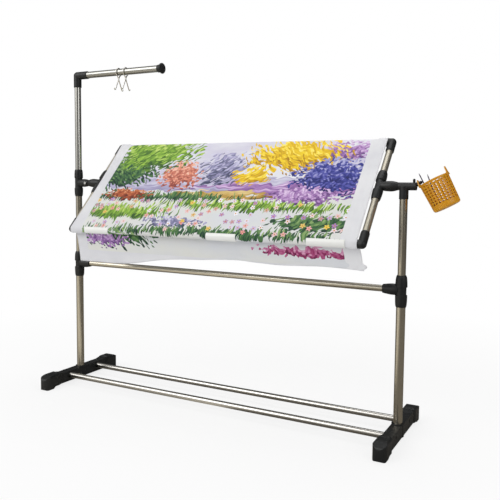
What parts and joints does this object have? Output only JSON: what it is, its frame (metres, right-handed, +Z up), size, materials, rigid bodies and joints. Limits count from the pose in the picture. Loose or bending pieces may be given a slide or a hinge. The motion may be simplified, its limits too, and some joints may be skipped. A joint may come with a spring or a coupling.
{
  "type": "embroidery stand",
  "caption": "Floor-standing embroidery stand: telescopic tube posts on moulded feet, a tilting work frame with stretched cloth, a swivelling chart arm with clips and a tool basket.",
  "frame": {"origin": "middle of the stand's bounding box, on the floor", "axes": "+X along the crossbar towards the basket, +Y to the back, +Z up"},
  "size_m": [1.1446, 0.316, 0.941],
  "materials": {
    "black_plastic": "satin moulded",
    "steel_tube": "satin lacquered tube",
    "screw_steel": "zinc plated",
    "clip_white": "semi-gloss",
    "cloth": "printed cotton canvas",
    "basket_plastic": "semi-gloss, slightly translucent",
    "needle_steel": "dark coated"
  },
  "bodies": {
    "base": {"foot_left": "black_plastic", "foot_right": "black_plastic", "front_stretcher": "steel_tube", "back_stretcher": "steel_tube", "stretcher_plugs": "black_plastic", "stretcher_screws": "screw_steel", "lower_post_left": "steel_tube", "lower_post_right": "steel_tube", "mid_tee_left": "black_plastic", "mid_tee_right": "black_plastic", "crossbar": "steel_tube"},
    "uprights": {"upper_post_left": "steel_tube", "upper_post_right": "steel_tube", "pivot_tee_left": "black_plastic", "pivot_tee_right": "black_plastic", "pivot_pin_left": "steel_tube", "pivot_pin_right": "steel_tube", "pivot_screw": "screw_steel", "basket_hook": "black_plastic"},
    "frame": {"bar_tee_left": "black_plastic", "bar_tee_right": "black_plastic", "upper_bar_left": "steel_tube", "upper_bar_right": "steel_tube", "lower_bar_left": "steel_tube", "lower_bar_right": "steel_tube", "top_elbow_left": "black_plastic", "top_elbow_right": "black_plastic", "bottom_elbow_left": "black_plastic", "bottom_elbow_right": "black_plastic", "top_rod": "steel_tube", "bottom_rod": "steel_tube", "snap_clip_left": "clip_white", "snap_clip_middle": "clip_white", "snap_clip_right": "clip_white", "cloth_panel": "cloth"},
    "flap": {"cloth_flap": "cloth"},
    "arm": {"mast": "steel_tube", "mast_elbow": "black_plastic", "arm_tube": "steel_tube", "arm_cap": "black_plastic"},
    "clip_1": {"chart_clip_1": "steel_tube"},
    "clip_2": {"chart_clip_2": "steel_tube"},
    "basket": {"basket": "basket_plastic", "needle_long": "needle_steel", "needle_short": "needle_steel"}
  },
  "joints": [
    {"name": "height", "type": "slide", "parent": "base", "child": "uprights", "axis": [0, 0, 1], "range_m": [-0.14, 0.12]},
    {"name": "frame_tilt", "type": "hinge", "parent": "uprights", "child": "frame", "pos_m": [-0.05527, 0, 0.604], "axis": [1, 0, 0], "range_deg": [-47, 43]},
    {"name": "flap_hang", "type": "hinge", "parent": "frame", "child": "flap", "pos_m": [-0.05527, -0.12071, 0.47455], "axis": [1, 0, 0], "range_deg": [-43, 47]},
    {"name": "arm_swivel", "type": "hinge", "parent": "uprights", "child": "arm", "pos_m": [-0.55527, 0, 0.604], "axis": [0, 0, 1], "continuous": true},
    {"name": "clip_1_slide", "type": "slide", "parent": "arm", "child": "clip_1", "axis": [1, 0, 0], "range_m": [-0.1, 0.018]},
    {"name": "clip_2_slide", "type": "slide", "parent": "arm", "child": "clip_2", "axis": [1, 0, 0], "range_m": [-0.018, 0.1]},
    {"name": "basket_lift", "type": "slide", "parent": "uprights", "child": "basket", "axis": [0.8829, 0, 0.4695], "range_m": [0, 0.03]}
  ],
  "couplings": [
    {"joint": "flap_hang", "follows": "frame_tilt", "ratio": -1}
  ]
}
